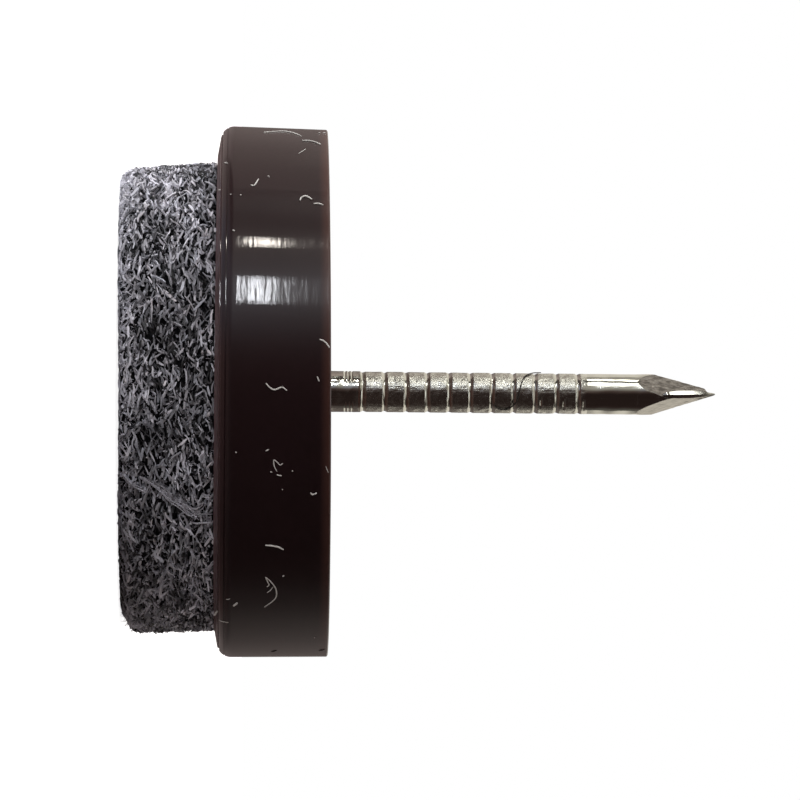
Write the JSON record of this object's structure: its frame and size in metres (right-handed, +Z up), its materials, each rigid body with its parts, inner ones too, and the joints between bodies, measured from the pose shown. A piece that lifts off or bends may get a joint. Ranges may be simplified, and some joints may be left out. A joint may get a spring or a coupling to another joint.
{
  "type": "nail-on furniture glide",
  "caption": "Round felt-bottomed furniture glide: a shallow plastic cup holds a thick felt pad, and a ring-shank nail stands out of its back to be driven into a leg.",
  "frame": {"origin": "on the nail's axis, in the felt pad's floor face, under the middle of the cup", "axes": "+Z up along the nail towards its point; the point's facets are turned about Z so that one ridge faces -Y"},
  "size_m": [0.025, 0.025, 0.028],
  "materials": {
    "cup_plastic": "dark brown, glossy, with fine turning marks",
    "felt": "grey needle felt of mixed light and dark fibres",
    "adhesive": "dried glue film",
    "nail_steel": "bright drawn steel"
  },
  "bodies": {
    "root": {"base_cup": "cup_plastic", "felt_pad": "felt", "adhesive_disc": "adhesive", "nail": "nail_steel"}
  },
  "joints": []
}
